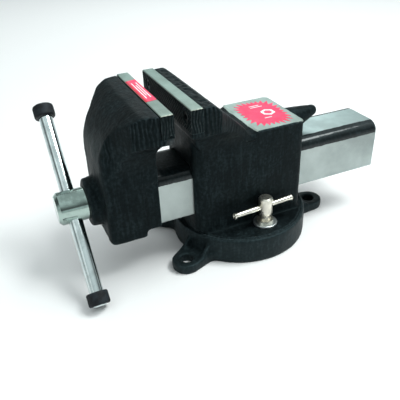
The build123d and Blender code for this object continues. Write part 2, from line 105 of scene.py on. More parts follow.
class Nodes:
    """Short way to write a node tree: every call adds a node and returns its output."""

    def __init__(self, name):
        self.material = bpy.data.materials.new(name)
        self.material.use_nodes = True
        self.tree = self.material.node_tree
        self.tree.nodes.clear()
        self.place = self.add("ShaderNodeTexCoord").outputs["Object"]

    def add(self, kind, **settings):
        node = self.tree.nodes.new(kind)
        for key, value in settings.items():
            setattr(node, key, value)
        return node

    def put(self, socket, value):
        if isinstance(value, bpy.types.NodeSocket):
            self.tree.links.new(value, socket)
        else:
            socket.default_value = value

    def math(self, how, a, b=0.0):
        node = self.add("ShaderNodeMath", operation=how)
        self.put(node.inputs[0], a)
        self.put(node.inputs[1], b)
        return node.outputs[0]

    def chain(self, how, values):
        result, *rest = values
        for value in rest:
            result = self.math(how, result, value)
        return result

    def times(self, *values):
        return self.chain("MULTIPLY", values)

    def plus(self, *values):
        return self.chain("ADD", values)

    def axes(self):
        """Place along X, Y and Z in metres."""
        node = self.add("ShaderNodeSeparateXYZ")
        self.put(node.inputs[0], self.place)
        return node.outputs

    def stretch(self, scale):
        node = self.add("ShaderNodeMapping")
        self.put(node.inputs["Vector"], self.place)
        node.inputs["Scale"].default_value = scale
        return node.outputs[0]

    def noise(self, size_mm, detail=2.0, rough=0.5, place=None):
        node = self.add("ShaderNodeTexNoise")
        self.put(node.inputs["Vector"], place or self.place)
        node.inputs["Scale"].default_value = 1 / (size_mm * MM)
        node.inputs["Detail"].default_value = detail
        node.inputs["Roughness"].default_value = rough
        return node.outputs["Fac"]

    def wander(self, size_mm, reach_mm):
        """Uneven shift of an edge, in metres."""
        centred = self.math("SUBTRACT", self.noise(size_mm, detail=3.0), 0.5)
        return self.times(centred, reach_mm * MM)

    def span(self, value, low, high, to_low=0.0, to_high=1.0, smooth=True):
        node = self.add("ShaderNodeMapRange")
        node.interpolation_type = "SMOOTHSTEP" if smooth else "LINEAR"
        for name, v in zip(("Value", "From Min", "From Max", "To Min", "To Max"),
                           (value, low, high, to_low, to_high)):
            self.put(node.inputs[name], v)
        return node.outputs[0]

    def rise(self, value, low_mm, high_mm):
        """0 to 1 as a value in metres goes from one place to another."""
        return self.span(value, low_mm * MM, high_mm * MM)

    def above(self, value, edge_mm):
        """1 where a value in metres is over an edge, which is slightly soft."""
        soft = 0.12
        return self.rise(value, edge_mm - soft, edge_mm + soft)

    def under(self, value, edge_mm):
        return self.math("SUBTRACT", 1.0, self.above(value, edge_mm))

    def blend(self, factor, a, b):
        """Mix of two colours."""
        node = self.add("ShaderNodeMix", data_type="RGBA")
        self.put(node.inputs["Factor"], factor)
        for socket, colour in ((node.inputs[6], a), (node.inputs[7], b)):
            self.put(socket, colour if isinstance(colour, bpy.types.NodeSocket) else (*colour, 1))
        return node.outputs[2]

    def mixed(self, factor, a, b):
        """Mix of two values."""
        node = self.add("ShaderNodeMix", data_type="FLOAT")
        for socket, value in zip((node.inputs[0], node.inputs[2], node.inputs[3]), (factor, a, b)):
            self.put(socket, value)
        return node.outputs[0]

    def bump(self, height, depth_mm, strength):
        node = self.add("ShaderNodeBump")
        node.inputs["Strength"].default_value = strength
        node.inputs["Distance"].default_value = depth_mm * MM
        self.put(node.inputs["Height"], height)
        return node.outputs[0]

    def finish(self, **values):
        """Material whose shader has these values on its sockets, named with _ for a space."""
        shader = self.add("ShaderNodeBsdfPrincipled")
        for name, value in values.items():
            if isinstance(value, tuple):
                value = (*value, 1)
            self.put(shader.inputs[name.replace("_", " ")], value)
        out = self.add("ShaderNodeOutputMaterial")
        self.tree.links.new(shader.outputs[0], out.inputs[0])
        return self.material


def darker(colour, share):
    return tuple(share * v for v in colour)


# ---- Castings' materials ------------------------------------------------------------

PAINT_DEEP = (0.0014, 0.0021, 0.0024)
PAINT_WORN = (0.0062, 0.0100, 0.0112)
# painted glint: colour of light specks standing in for glints on the paint
PAINT_GLINT = (0.024, 0.034, 0.038)
# hollows get painted shade; crests get a lighter colour, partly worn paint and partly painted
# highlight
PAINT_HOLLOW_SHADE = (0.0006, 0.0008, 0.0009)
PAINT_CREST_WEAR_AND_HIGHLIGHT, INSERT_CREST_WEAR_AND_HIGHLIGHT = (0.030, 0.042, 0.046), (0.055, 0.07, 0.07)
PAINT_TINT = (0.62, 0.93, 1.0)
PAINT_GLOSS, BASE_GLOSS = 0.11, 0.26
GROUND_BAR = (0.62, 0.69, 0.67)
GROUND_ANVIL = (0.43, 0.465, 0.42)
GROUND_INSERT = (0.36, 0.38, 0.325)
GROUND_SCRATCH = (0.75, 0.78, 0.76)
GRINDING = (0.06, 1.0, 1.0)            # ground lines run along X
STREAKS = (1.0, 1.0, 0.16)             # paint runs along Z
# pointiness ranges for the crests' wear and painted highlight, and for the hollows' painted shade
CREST_WEAR_AND_HIGHLIGHT_BEND, HOLLOW_SHADE_BEND = (0.505, 0.56), (0.495, 0.455)


def paint_parts(n, crest_wear_and_highlight):
    """Colour, roughness and height of black paint on a sand casting, lighter on its crests as worn
    paint and painted highlight, and darker in its hollows as painted shade.
    """
    broad = n.noise(38, detail=3.0)
    grain = n.noise(3.6, rough=0.55)
    fine = n.noise(1.0, rough=0.6)
    streak = n.noise(3.2, rough=0.6, place=n.stretch(STREAKS))
    tone = n.plus(n.times(broad, 0.45), n.times(grain, 0.3), n.times(streak, 0.25))
    colour = n.blend(n.span(tone, 0.36, 0.66), PAINT_DEEP, PAINT_WORN)
    # painted glint: light specks scattered over the paint, fewer where the broad clouds are dark
    painted_glint = n.span(n.plus(n.times(grain, 0.45), n.times(streak, 0.55)), 0.46, 0.66)
    painted_glint = n.times(painted_glint, n.span(broad, 0.35, 0.65, 0.12, 0.45))
    colour = n.blend(painted_glint, colour, PAINT_GLINT)
    bent = n.add("ShaderNodeNewGeometry").outputs["Pointiness"]
    # crests lighter: worn paint and painted highlight on the ridges
    crest = n.times(n.span(bent, *CREST_WEAR_AND_HIGHLIGHT_BEND), n.span(grain, 0.35, 0.6, 0.35, 1.0))
    colour = n.blend(crest, colour, crest_wear_and_highlight)
    # painted shade: the mesh's hollows darkened
    colour = n.blend(n.span(bent, *HOLLOW_SHADE_BEND, 0.0, 0.85), colour, PAINT_HOLLOW_SHADE)
    rough = n.plus(n.span(broad, 0.3, 0.7, 0.40, 0.54), n.times(fine, 0.16))
    height = n.plus(n.times(grain, 0.62), n.times(fine, 0.22), n.times(streak, 0.3))
    return colour, rough, height


def ground_parts(n, steel, painted_shade):
    """Colour, roughness and height of ground steel, darkened as painted shade where that mask is 1.
    """
    cloud = n.noise(46, detail=3.0, rough=0.55)
    smudge = n.noise(15)
    scratch = n.noise(0.55, rough=0.6, place=n.stretch(GRINDING))
    tone = n.plus(n.times(cloud, 0.7), n.times(smudge, 0.3))
    colour = n.blend(n.span(tone, 0.30, 0.68), darker(steel, 0.74), steel)
    if painted_shade:
        # painted shade: the steel darkened where its mask is 1
        colour = n.blend(painted_shade(n), colour, darker(steel, 0.33))
    colour = n.blend(n.times(n.span(scratch, 0.55, 0.75), 0.18), colour, GROUND_SCRATCH)
    rough = n.plus(n.span(tone, 0.35, 0.65, 0.40, 0.30), n.times(scratch, 0.10))
    return colour, rough, scratch


def paint_material(name):
    n = Nodes(name)
    colour, rough, height = paint_parts(n, PAINT_CREST_WEAR_AND_HIGHLIGHT)
    return n.finish(
        Base_Color=colour,
        Roughness=rough,
        Specular_IOR_Level=BASE_GLOSS,
        Specular_Tint=PAINT_TINT,
        Normal=n.bump(height, depth_mm=0.5, strength=0.9),
    )


# crest: colour of the lighter crests, worn paint and painted highlight
def casting_material(name, ground_mask, steel, painted_shade=None, glossy=None, crest=PAINT_CREST_WEAR_AND_HIGHLIGHT):
    """Painted casting; its masks are 1 where it is ground bright, darkened by painted shade or
    painted glossy.
    """
    n = Nodes(name)
    paint_colour, paint_rough, paint_height = paint_parts(n, crest)
    steel_colour, steel_rough, steel_height = ground_parts(n, steel, painted_shade)
    mask = ground_mask(n)
    height = n.mixed(mask, n.times(paint_height, 0.5), n.times(steel_height, 0.012))
    return n.finish(
        Base_Color=n.blend(mask, paint_colour, steel_colour),
        Metallic=mask,
        Roughness=n.mixed(mask, paint_rough, steel_rough),
        Specular_IOR_Level=PAINT_GLOSS,
        Specular_Tint=PAINT_TINT,
        Normal=n.bump(height, depth_mm=1.0, strength=0.9),
        Coat_Weight=glossy(n) if glossy else 0.0,
        Coat_Roughness=0.13,
    )


def bar_mask(n):
    """Side, top and end flats of the slide bar, behind the collar; the top only behind the throat,
    while ahead of it the top is left black paint as painted shade and dark reflection of the jaws.
    """
    x, y, z = n.axes()
    width = n.math("ABSOLUTE", x)
    wander = n.wander(9, reach_mm=2.2)
    side = n.times(n.under(n.plus(z, wander), BAR_SIDE_TOP), n.above(width, BAR_HALF - SKIN))
    # top ground only behind the throat; ahead of it painted shade keeps it black
    top = n.times(
        n.under(n.plus(width, wander), BAR_TOP_HALF),
        n.above(z, BAR_TOP - SKIN),
        n.rise(n.plus(y, n.times(wander, 4.0)), THROAT_REAR - 3, THROAT_REAR + 3),
    )
    end = n.above(y, BAR_REAR - SKIN)
    flats = n.chain("MAXIMUM", (side, top, end))
    return n.times(flats, n.above(y, COLLAR_REAR + 0.9))


def bar_side_painted_shade(n):
    """Painted shade on the slide bar's sides: darker in uneven clouds, darkest near their upper rear.
    """
    x, y, z = n.axes()
    patch = n.times(n.rise(y, 100, 190), n.rise(z, 66, 110),
                    n.span(n.noise(24), 0.25, 0.65, 0.30, 0.95))
    side = n.rise(n.math("ABSOLUTE", x), 30, 34)
    return n.times(side, n.span(patch, 0.0, 1.0, 0.52, 1.0, smooth=False))


def bar_gloss(n):
    """Thick shiny paint on the slide bar's rounded corners."""
    x, y, z = n.axes()
    weight = 0.6
    corner = n.times(n.above(n.math("ABSOLUTE", x), BAR_TOP_HALF - 1.2),
                     n.above(z, BAR_SIDE_TOP - 0.8))
    return n.times(corner, n.rise(y, COLLAR_REAR + 1, COLLAR_REAR + 4), weight)


def anvil_mask(n):
    """Ground top of the anvil, inside a wavering painted edge."""
    x, y, z = n.axes()
    half_width, front, rear = 45.3, -0.5, 66.5
    wander = n.wander(8, reach_mm=3.0)
    across = n.under(n.plus(n.math("ABSOLUTE", x), wander), half_width)
    along = n.plus(y, wander)
    return n.times(n.above(z, ANVIL_TOP - 1.0), across, n.above(along, front), n.under(along, rear))


def insert_mask(n):
    """Ground top of an insert."""
    return n.above(n.axes()[2], JAW_TOP - 0.7)


# ---- Other materials ----------------------------------------------------------------


def steel_material(name, colour, rough, marks=(1, 1, 1), depth=0.01, vary=0.8):
    """Bare or plated metal with fine marks, stretched by a scale; vary darkens its clouds."""
    n = Nodes(name)
    cloud = n.noise(14, detail=3.0, rough=0.55)
    mark = n.noise(0.5, rough=0.6, place=n.stretch(marks))
    return n.finish(
        Base_Color=n.blend(n.span(cloud, 0.35, 0.6), darker(colour, vary), colour),
        Metallic=1.0,
        Roughness=n.plus(n.span(cloud, 0.3, 0.7, rough * 1.25, rough * 0.85),
                         n.times(mark, rough * 0.25)),
        Normal=n.bump(mark, depth, strength=0.6),
    )


def cap_material():
    """Dark hard rubber."""
    n = Nodes("cap")
    dark, worn = (0.0035, 0.0050, 0.0075), (0.012, 0.017, 0.023)
    grain = n.noise(1.2, detail=3.0, rough=0.6)
    broad = n.noise(7)
    return n.finish(
        Base_Color=n.blend(n.span(broad, 0.35, 0.65), dark, worn),
        Roughness=n.span(grain, 0.3, 0.7, 0.44, 0.62),
        Specular_IOR_Level=0.3,
        Normal=n.bump(grain, depth_mm=0.15, strength=0.6),
    )


def sticker_material(name, colour):
    """Printed film that isn't quite flat or even."""
    n = Nodes(name)
    ink = n.noise(11, detail=3.0, rough=0.55)
    ripple = n.noise(8)
    light = tuple(min(1.0, v * 1.12 + 0.01) for v in colour)
    return n.finish(
        Base_Color=n.blend(n.span(ink, 0.35, 0.65), colour, light),
        Roughness=n.span(ripple, 0.3, 0.7, 0.38, 0.50),
        Specular_IOR_Level=0.15,
        Normal=n.bump(ripple, depth_mm=0.06, strength=0.5),
    )


MATERIALS = {
    "paint": paint_material("paint"),
    "front_paint": casting_material("front_paint", bar_mask, GROUND_BAR, bar_side_painted_shade, bar_gloss),
    "rear_paint": casting_material("rear_paint", anvil_mask, GROUND_ANVIL),
    "insert": casting_material("insert", insert_mask, GROUND_INSERT, crest=INSERT_CREST_WEAR_AND_HIGHLIGHT),
    "chrome": steel_material("chrome", (0.68, 0.75, 0.75), 0.12, depth=0.001),
    # painted shade and painted reflection: the spindle head's chrome is a darker copy of the
    # handle's, standing in for its darker reflections
    "spindle": steel_material("spindle", (0.40, 0.50, 0.46), 0.11, (1, 0.12, 1), 0.006, vary=0.62),
    "nickel": steel_material("nickel", (0.84, 0.80, 0.70), 0.27, depth=0.001),
    "zinc": steel_material("zinc", (0.62, 0.66, 0.66), 0.30),
    "black_oxide": steel_material("black_oxide", (0.035, 0.040, 0.042), 0.42, depth=0.02, vary=0.5),
    "oiled": steel_material("oiled", (0.20, 0.19, 0.18), 0.35, depth=0.02, vary=0.6),
    "cap": cap_material(),
    "red": sticker_material("red", (0.84, 0.048, 0.125)),
    "red_dark": sticker_material("red_dark", (0.56, 0.014, 0.035)),
    "print": sticker_material("print", (0.90, 0.82, 0.82)),
}

# ---- Mesh helpers -------------------------------------------------------------------


def link(name, mesh, body, node, material=None):
    """New object from a mesh, riding on a body in place of a CAD node."""
    obj = bpy.data.objects.new(name, mesh)
    bpy.context.scene.collection.objects.link(obj)
    if material:
        mesh.materials.clear()
        mesh.materials.append(MATERIALS[material])
    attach(obj, body)
    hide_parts(node)
    return obj


def new_mesh(name, vertices, faces, *repairs):
    """Mesh from points in mm, with repairs done by functions of its bmesh, and normals outwards."""
    mesh = bpy.data.meshes.new(name)
    mesh.from_pydata([Vector(place) * MM for place in vertices], [], faces)
    bm = bmesh.new()
    bm.from_mesh(mesh)
    for repair in repairs:
        repair(bm)
    bmesh.ops.recalc_face_normals(bm, faces=bm.faces)
    bm.to_mesh(mesh)
    bm.free()
    return mesh


def welded(node):
    """Mesh of a CAD node with its split corners joined."""
    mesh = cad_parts[node].data.copy()
    bm = bmesh.new()
    bm.from_mesh(mesh)
    bmesh.ops.remove_doubles(bm, verts=bm.verts, dist=2e-6)
    bm.to_mesh(mesh)
    bm.free()
    return mesh


def even_mesh(node, voxel_mm):
    """Copy of a CAD node, meshed again in even squares."""
    holder = bpy.data.objects.new(node + "_even", welded(node))
    bpy.context.scene.collection.objects.link(holder)
    even = holder.modifiers.new("even", "REMESH")
    even.mode = "VOXEL"
    even.voxel_size = voxel_mm * MM * COARSER
    graph = bpy.context.evaluated_depsgraph_get()
    result = bpy.data.meshes.new_from_object(holder.evaluated_get(graph))
    bpy.data.objects.remove(holder)
    return result


class Cloud:
    """Points of an evenly meshed CAD node in mm, with what is needed to smooth and move them."""

    def __init__(self, node, voxel_mm):
        self.mesh = even_mesh(node, voxel_mm)
        flat = np.zeros(len(self.mesh.vertices) * 3)
        self.mesh.vertices.foreach_get("co", flat)
        self.co = flat.reshape(-1, 3) / MM
        self.first_co = self.co.copy()
        self.first_normal = self.normals()
        edges = np.zeros(len(self.mesh.edges) * 2, dtype=np.int64)
        self.mesh.edges.foreach_get("vertices", edges)
        self.edges = edges.reshape(-1, 2)
        self.neighbours = np.bincount(edges, minlength=len(self.co))

    def put_back(self):
        self.mesh.vertices.foreach_set("co", (self.co * MM).ravel())
        self.mesh.update()

    def normals(self):
        """Unit normals of the points where they are now."""
        self.put_back()
        flat = np.zeros(len(self.co) * 3)
        self.mesh.vertices.foreach_get("normal", flat)
        return flat.reshape(-1, 3)

    def smooth(self, weight, rounds):
        """Moves each point towards its neighbours, by a weight from 0 to 1 each time."""
        one, two = self.edges.T
        total = len(self.co)
        for _ in range(rounds):
            middle = np.empty_like(self.co)
            for axis in range(3):
                value = self.co[:, axis]
                middle[:, axis] = (
                    np.bincount(one, weights=value[two], minlength=total)
                    + np.bincount(two, weights=value[one], minlength=total)
                ) / self.neighbours
            self.co += weight[:, None] * (middle - self.co)

    def flatten(self, axis, value, where=True, reach=0.5):
        """Puts the points that began on one flat face exactly on its plane."""
        near = np.abs(self.first_co[:, axis] - value) < reach
        facing = np.abs(self.first_normal[:, axis]) > 0.8
        self.co[near & facing & where, axis] = value

    def finish(self):
        self.put_back()
        self.mesh.polygons.foreach_set("use_smooth", [True] * len(self.mesh.polygons))
        return self.mesh


def lumps(co, size, seed):
    """Smooth noise from -1 to 1 at points co, with features of the given size or sizes."""
    p = co / np.asarray(size, dtype=float) + 17.31 * seed
    cell = np.floor(p).astype(np.int64)
    part = p - cell
    part = part * part * (3 - 2 * part)
    total = np.zeros(len(co))
    for dx in (0, 1):
        for dy in (0, 1):
            for dz in (0, 1):
                # Any large odd numbers will do to scatter the cells' values
                h = (cell[:, 0] + dx) * 73856093 ^ (cell[:, 1] + dy) * 19349663
                h ^= (cell[:, 2] + dz) * 83492791
                h = (h ^ (h >> 13)) * 1274126177
                value = ((h ^ (h >> 16)) & 0xFFFFFF) / 0xFFFFFF
                weight = np.where(dx, part[:, 0], 1 - part[:, 0])
                weight = weight * np.where(dy, part[:, 1], 1 - part[:, 1])
                total += value * weight * np.where(dz, part[:, 2], 1 - part[:, 2])
    return 2 * total - 1


def within(value, low, high):
    return (value > low) & (value < high)


def ease(value, low, high):
    """0 below low, 1 above high, smooth between."""
    t = np.clip((value - low) / (high - low), 0, 1)
    return t * t * (3 - 2 * t)


def triangle(value):
    """Triangle wave from 0 to 1 and back over each unit of value."""
    return 1 - np.abs(2 * (value - np.floor(value)) - 1)


def sand(cloud, weight, depth):
    """Pushes cast skin in by uneven amounts, at most depth mm."""
    co = cloud.co
    height = 0.46 * lumps(co, 19, 1) + 0.30 * lumps(co, 7, 2) + 0.24 * lumps(co, 3.2, 3)
    cloud.co -= cloud.normals() * (weight * depth * (0.5 - 0.5 * height))[:, None]


def end_ribs(cloud, where, depth, pitch):
    """Wavering upright ribs on faces that look along X."""
    co = cloud.co
    flat = co * (0, 1, 1)
    wander = 2.6 * lumps(flat, (1, 11, 17), 4) + 0.7 * lumps(flat, (1, 4, 5), 5)
    wave = 0.5 + 0.5 * np.sin(2 * np.pi * (co[:, 1] + wander) / pitch)
    gain = 0.65 + 0.35 * lumps(flat, (1, 6, 12), 6)
    side = where * ease(np.abs(cloud.first_normal[:, 0]), 0.75, 0.95)
    cloud.co[:, 0] -= np.sign(co[:, 0]) * side * depth * gain * wave ** 1.4


# ---- Castings -----------------------------------------------------------------------

CASTING_VOXEL, INSERT_VOXEL = 1.15, 0.6
SAND_DEPTH, BAR_SAND_DEPTH, BASE_SAND_DEPTH = 0.9, 0.35, 0.5
SEAT_WEIGHT, ANVIL_WEIGHT = 0.35, 0.15       # how far machined seats join in the smoothing
SMOOTHING = 0.5


def square_neck(cloud):
    """Pushes the neck's rounded front corners out into squarer ones, below the head's sweep."""
    x, y, z = cloud.co.T
    centre_x, centre_y, wide, deep, power = 25.0, -171.5, 17.5, 14.0, 5.0
    side, ahead = np.abs(x) - centre_x, centre_y - y
    turning = (side > 0.01) & (ahead > 0.01)
    across, along = np.where(turning, side, 1.0) / wide, np.where(turning, ahead, 1.0) / deep
    grow = np.hypot(across, along) / (across ** power + along ** power) ** (1 / power)
    grow = 1 + (grow - 1) * (1 - ease(z, NECK_TOP, 175)) * turning
    cloud.co[:, 0] = np.where(turning, np.sign(x) * (centre_x + side * grow), x)
    cloud.co[:, 1] = np.where(turning, centre_y - ahead * grow, y)


def front_casting():
    cloud = Cloud("front_jaw_body", CASTING_VOXEL)
    x, y, z = cloud.co.T
    bar = y > COLLAR_REAR - 0.3
    hollow = (np.abs(x) < 27) & (z < 112.6) & (y > -165.5)
    bore = (np.hypot(x, z - SPINDLE_Z) < 14.5) & (y < -164)
    insert_seat = (y > -125.6) & (z > 176)
    cast = (~(bar & (z < NECK_TOP)) & ~hollow & ~bore).astype(float)
    cast[insert_seat] = SEAT_WEIGHT
    square_neck(cloud)
    cloud.smooth(cast * SMOOTHING, 14)
    corner = bar & (z < NECK_TOP) & ~hollow
    end_ribs(cloud, ease(z, 148, 160) * ease(-y, 110, 116), depth=1.35, pitch=4.3)
    sand(cloud, cast, SAND_DEPTH)
    corner &= (z > 108) & (np.abs(x) > 20)
    sand(cloud, corner.astype(float), BAR_SAND_DEPTH)
    for value in (BAR_HALF, -BAR_HALF):
        cloud.flatten(0, value, bar & (z < BAR_SIDE_TOP + SKIN))
    cloud.flatten(2, BAR_TOP, bar & (np.abs(x) < BAR_TOP_HALF))
    cloud.flatten(2, BAR_BOTTOM, bar)
    cloud.flatten(1, BAR_REAR)
    link("front_jaw_casting", cloud.finish(), "front_jaw", "front_jaw_body", "front_paint")


def lump_band(cloud):
    """Worn lumps on the casting's top, behind the fixed insert."""
    x, y, z = cloud.co.T
    depth, rise = 1.25, 1.1
    band = ease(y, -78.5, -77.0) * (1 - ease(y, -68.0, -66.0)) * ease(70 - np.abs(x), 0.0, 3.0)
    band = band * ease(z, JAW_TOP - 2.0, JAW_TOP - 0.6)
    mound = ease(lumps(cloud.co * (1, 1, 0), (4.6, 4.0, 1), 7), -0.6, 0.6)
    cloud.co[:, 2] -= band * (depth - rise * mound)


def sweep_dips(cloud):
    """Shallow dips where the head's sweep runs out beside the anvil."""
    x, y, z = cloud.co.T
    depth = 3.6
    dip = ease(np.abs(x), 14, 46) * (1 - ease(y, -6, 3.0)) * ease(y, -17, -8) * (z > 148)
    cloud.co[:, 2] -= depth * dip


def rear_casting():
    cloud = Cloud("rear_jaw_body", CASTING_VOXEL)
    x, y, z = cloud.co.T
    turntable = np.hypot(x, y) < SWIVEL_RADIUS
    passage = (np.abs(x) < BAR_HALF + 1.2) & within(z, 46, BAR_TOP + 1.2) & within(y, -79, 67)
    lock_spot = (np.hypot(np.abs(x) - LOCK_X, y - LOCK_Y) < 15) & (z < SWIVEL_Z + 2.0)
    anvil = (z > ANVIL_TOP - 2.3) & (np.abs(x) < 48) & within(y, 2.5, 68.5)
    insert_seat = (y < -78.6) & (z > 184)
    cast = (~passage & (z >= SWIVEL_Z - 0.6)).astype(float)
    cast[lock_spot] = 0.0
    cast[anvil] = ANVIL_WEIGHT
    cast[insert_seat] = SEAT_WEIGHT
    cloud.smooth(cast * SMOOTHING, 14)
    end_ribs(cloud, ease(z, 150, 180) * ease(-y, 22, 48), depth=1.3, pitch=4.6)
    lump_band(cloud)
    sweep_dips(cloud)
    cast[anvil] = 0.0
    sand(cloud, cast, SAND_DEPTH)
    cloud.flatten(2, ANVIL_TOP, anvil, reach=0.6)
    cloud.flatten(2, SWIVEL_Z, turntable)
    link("rear_jaw_casting", cloud.finish(), "rear_jaw", "rear_jaw_body", "rear_paint")


def base_casting():
    cloud = Cloud("swivel_base", CASTING_VOXEL)
    x, y, z = cloud.co.T
    recess = (np.hypot(x, y) < SWIVEL_RADIUS + 0.9) & (z > 3.5)
    cast = (~recess).astype(float)
    underside = (z < 0.6) & (cloud.first_normal[:, 2] < -0.5)
    cloud.smooth(cast * SMOOTHING, 12)
    sand(cloud, cast, BASE_SAND_DEPTH)
    cloud.co[underside, 2] = 0.0
    cloud.co[:, 2] = np.maximum(cloud.co[:, 2], 0.0)
    link("swivel_base_casting", cloud.finish(), "base", "swivel_base", "paint")


front_casting()
rear_casting()
base_casting()

# ---- Jaw inserts --------------------------------------------------------------------


def insert_plate(name, node, body, face_y, facing):
    """Hardened plate with a serrated gripping face, rough ends and a ground top."""
    cloud = Cloud(node, INSERT_VOXEL)
    x, y, z = cloud.co.T
    pitch, depth = 3.4, 0.85
    up, down = (x + z) * math.sqrt(0.5), (x - z) * math.sqrt(0.5)
    teeth = np.minimum(triangle(up / pitch), triangle(down / pitch))
    gripping = (facing * cloud.first_normal[:, 1] > 0.8) & (np.abs(y - face_y) < 0.4)
    plain_rim = ease(JAW_TOP - z, 1.2, 1.8) * ease(JAW_HALF - np.abs(x), 0.3, 0.9)
    from_screw = np.hypot(np.abs(x) - INSERT_SCREW_X, z - INSERT_SCREW_Z)
    serrated = gripping * plain_rim * ease(from_screw, 7.4, 8.2)
    cloud.co[:, 1] -= facing * serrated * depth * (1 - ease(teeth, 0.0, 0.55))
    end_ribs(cloud, np.abs(x) > JAW_HALF - 0.7, depth=0.75, pitch=3.4)
    cloud.flatten(2, JAW_TOP)
    if facing > 0:
        # Small pit in the near end
        from_pit = np.hypot(y + 115.6, z - 186.8)
        cloud.co[:, 0] -= (x > JAW_HALF - 2.0) * 1.3 * (1 - ease(from_pit, 0.8, 2.2))
    link(name, cloud.finish(), body, node, "insert")


insert_plate("rear_insert_plate", "rear_jaw_insert", "rear_jaw", REAR_GRIP, -1)
insert_plate("front_insert_plate", "front_jaw_insert", "front_jaw", FRONT_GRIP, 1)

# ---- Turned and threaded pieces -----------------------------------------------------


def soften(obj, width_mm):
    """Rounds the sharp edges of a CAD-like mesh a little."""
    weld = obj.modifiers.new("weld", "WELD")
    weld.merge_threshold = 2e-6
    bevel = obj.modifiers.new("edges", "BEVEL")
    bevel.width = width_mm * MM
    bevel.segments = 3
    bevel.limit_method = "ANGLE"
    bevel.angle_limit = math.radians(28)
    bevel.harden_normals = False
    obj.modifiers.new("shade", "WEIGHTED_NORMAL").keep_sharp = True


def lathe(name, profile, origin, along, around, shape=None):
    """Solid of revolution: profile is (radius, distance) in mm along a direction from an origin."""
    along = along.normalized()
    side = along.orthogonal().normalized()
    other = along.cross(side)
    vertices, faces = [], []
    rows = len(profile)
    for k in range(around):
        turn = 2 * math.pi * k / around
        out = side * math.cos(turn) + other * math.sin(turn)
        for radius, distance in profile:
            if shape:
                radius = shape(radius, distance, turn)
            vertices.append(origin + along * distance + out * radius)
    for k in range(around):
        here, there = k * rows, (k + 1) % around * rows
        for j in range(rows - 1):
            faces.append((here + j, there + j, there + j + 1, here + j + 1))
        if profile[0][0] > 0:
            faces.append((here + rows - 1, there + rows - 1, there, here))
    mesh = new_mesh(name, vertices, faces,
                    lambda bm: bmesh.ops.remove_doubles(bm, verts=bm.verts, dist=1e-6))
    mesh.polygons.foreach_set("use_smooth", [True] * len(mesh.polygons))
    return mesh


def spindle_head():
    """Front end of the spindle, cut from the CAD screw ahead of its thread."""
    mesh = welded("spindle_screw")
    bm = bmesh.new()
    bm.from_mesh(mesh)
    geometry = bm.verts[:] + bm.edges[:] + bm.faces[:]
    cut = bmesh.ops.bisect_plane(bm, geom=geometry, plane_co=(0, SPINDLE_HEAD_REAR * MM, 0),
                                 plane_no=(0, 1, 0), clear_outer=True)
    rim = [e for e in cut["geom_cut"] if isinstance(e, bmesh.types.BMEdge)]
    bmesh.ops.contextual_create(bm, geom=rim)
    bm.to_mesh(mesh)
    bm.free()
    soften(link("spindle_head", mesh, "spindle", "spindle_screw", "spindle"), 0.5)


def close_thread(bm):
    bmesh.ops.remove_doubles(bm, verts=bm.verts, dist=1e-7)
    bmesh.ops.dissolve_degenerate(bm, edges=bm.edges[:], dist=1e-7)
    bmesh.ops.holes_fill(bm, edges=[e for e in bm.edges if e.is_boundary], sides=0)


def spindle_thread():
    """Single-start right-hand thread, chamfered at its end."""
    start, end, pitch, steps = SPINDLE_HEAD_REAR - 0.1, 166.0, 5.0, 48
    crest, root, tip = 13.0, 10.6, 9.6
    profile = [(0.0, root), (1.5, root), (2.2, crest), (4.0, crest), (4.7, root)]
    turns = int((end - start) / pitch) + 3
    rows = [(pitch * k + offset, radius) for k in range(-1, turns) for offset, radius in profile]
    vertices, faces = [], []
    count, per_turn = len(rows), len(profile)
    for a in range(steps):
        turn = 2 * math.pi * a / steps
        for offset, radius in rows:
            y = min(max(start + offset - pitch + pitch * a / steps, start), end)
            radius = min(radius, tip + (end - y) * 1.1)
            vertices.append((radius * math.sin(turn), y, SPINDLE_Z + radius * math.cos(turn)))
    for a in range(steps):
        shift = per_turn if a == steps - 1 else 0
        for j in range(count - 1 - shift):
            here = a * count + j
            there = (a + 1) % steps * count + j + shift
            faces.append((here, here + 1, there + 1, there))
    mesh = new_mesh("spindle_thread", vertices, faces, close_thread)
    link("spindle_thread", mesh, "spindle", "spindle_screw", "oiled")


spindle_head()
spindle_thread()

HANDLE_TILT = math.radians(44.5)
HANDLE_UP = Vector((-math.sin(HANDLE_TILT), 0, math.cos(HANDLE_TILT)))
HANDLE_MIDDLE = Vector((0, -216.5, SPINDLE_Z))
CAP_RADIUS = 12.3


def knurl(radius, distance, turn):
    """Crossed ridges on the outside of a cap."""
    ridges, rise, depth = 34, 2.3, 0.55
    if radius < CAP_RADIUS - 0.4:
        return radius
    one = triangle(ridges * turn / (2 * math.pi) + distance / rise)
    two = triangle(ridges * turn / (2 * math.pi) - distance / rise)
    return radius - depth * (1 - min(1.0, 1.6 * min(one, two)))


def handle_cap(name, middle):
    """Knurled end cap, with rounded rims."""
    half, bore, rim, arc_steps, steps = 7.5, 8.03, 2.2, 6, 26
    quarter = [math.pi / 2 * k / arc_steps for k in range(arc_steps + 1)]
    flat = CAP_RADIUS - rim
    profile = [(bore, -half)]
    profile += [(flat + rim * math.sin(turn), rim - half - rim * math.cos(turn)) for turn in quarter]
    profile += [(CAP_RADIUS, (half - rim) * (2 * k / steps - 1)) for k in range(1, steps)]
    profile += [(flat + rim * math.cos(turn), half - rim + rim * math.sin(turn)) for turn in quarter]
    profile.append((bore, half))
    mesh = lathe(name + "_cap", profile, HANDLE_MIDDLE + HANDLE_UP * middle, HANDLE_UP, 204, knurl)
    link(name + "_cap", mesh, "handle", name + "_handle_cap", "cap")


handle_cap("upper", 119.6)
handle_cap("lower", -110.0)


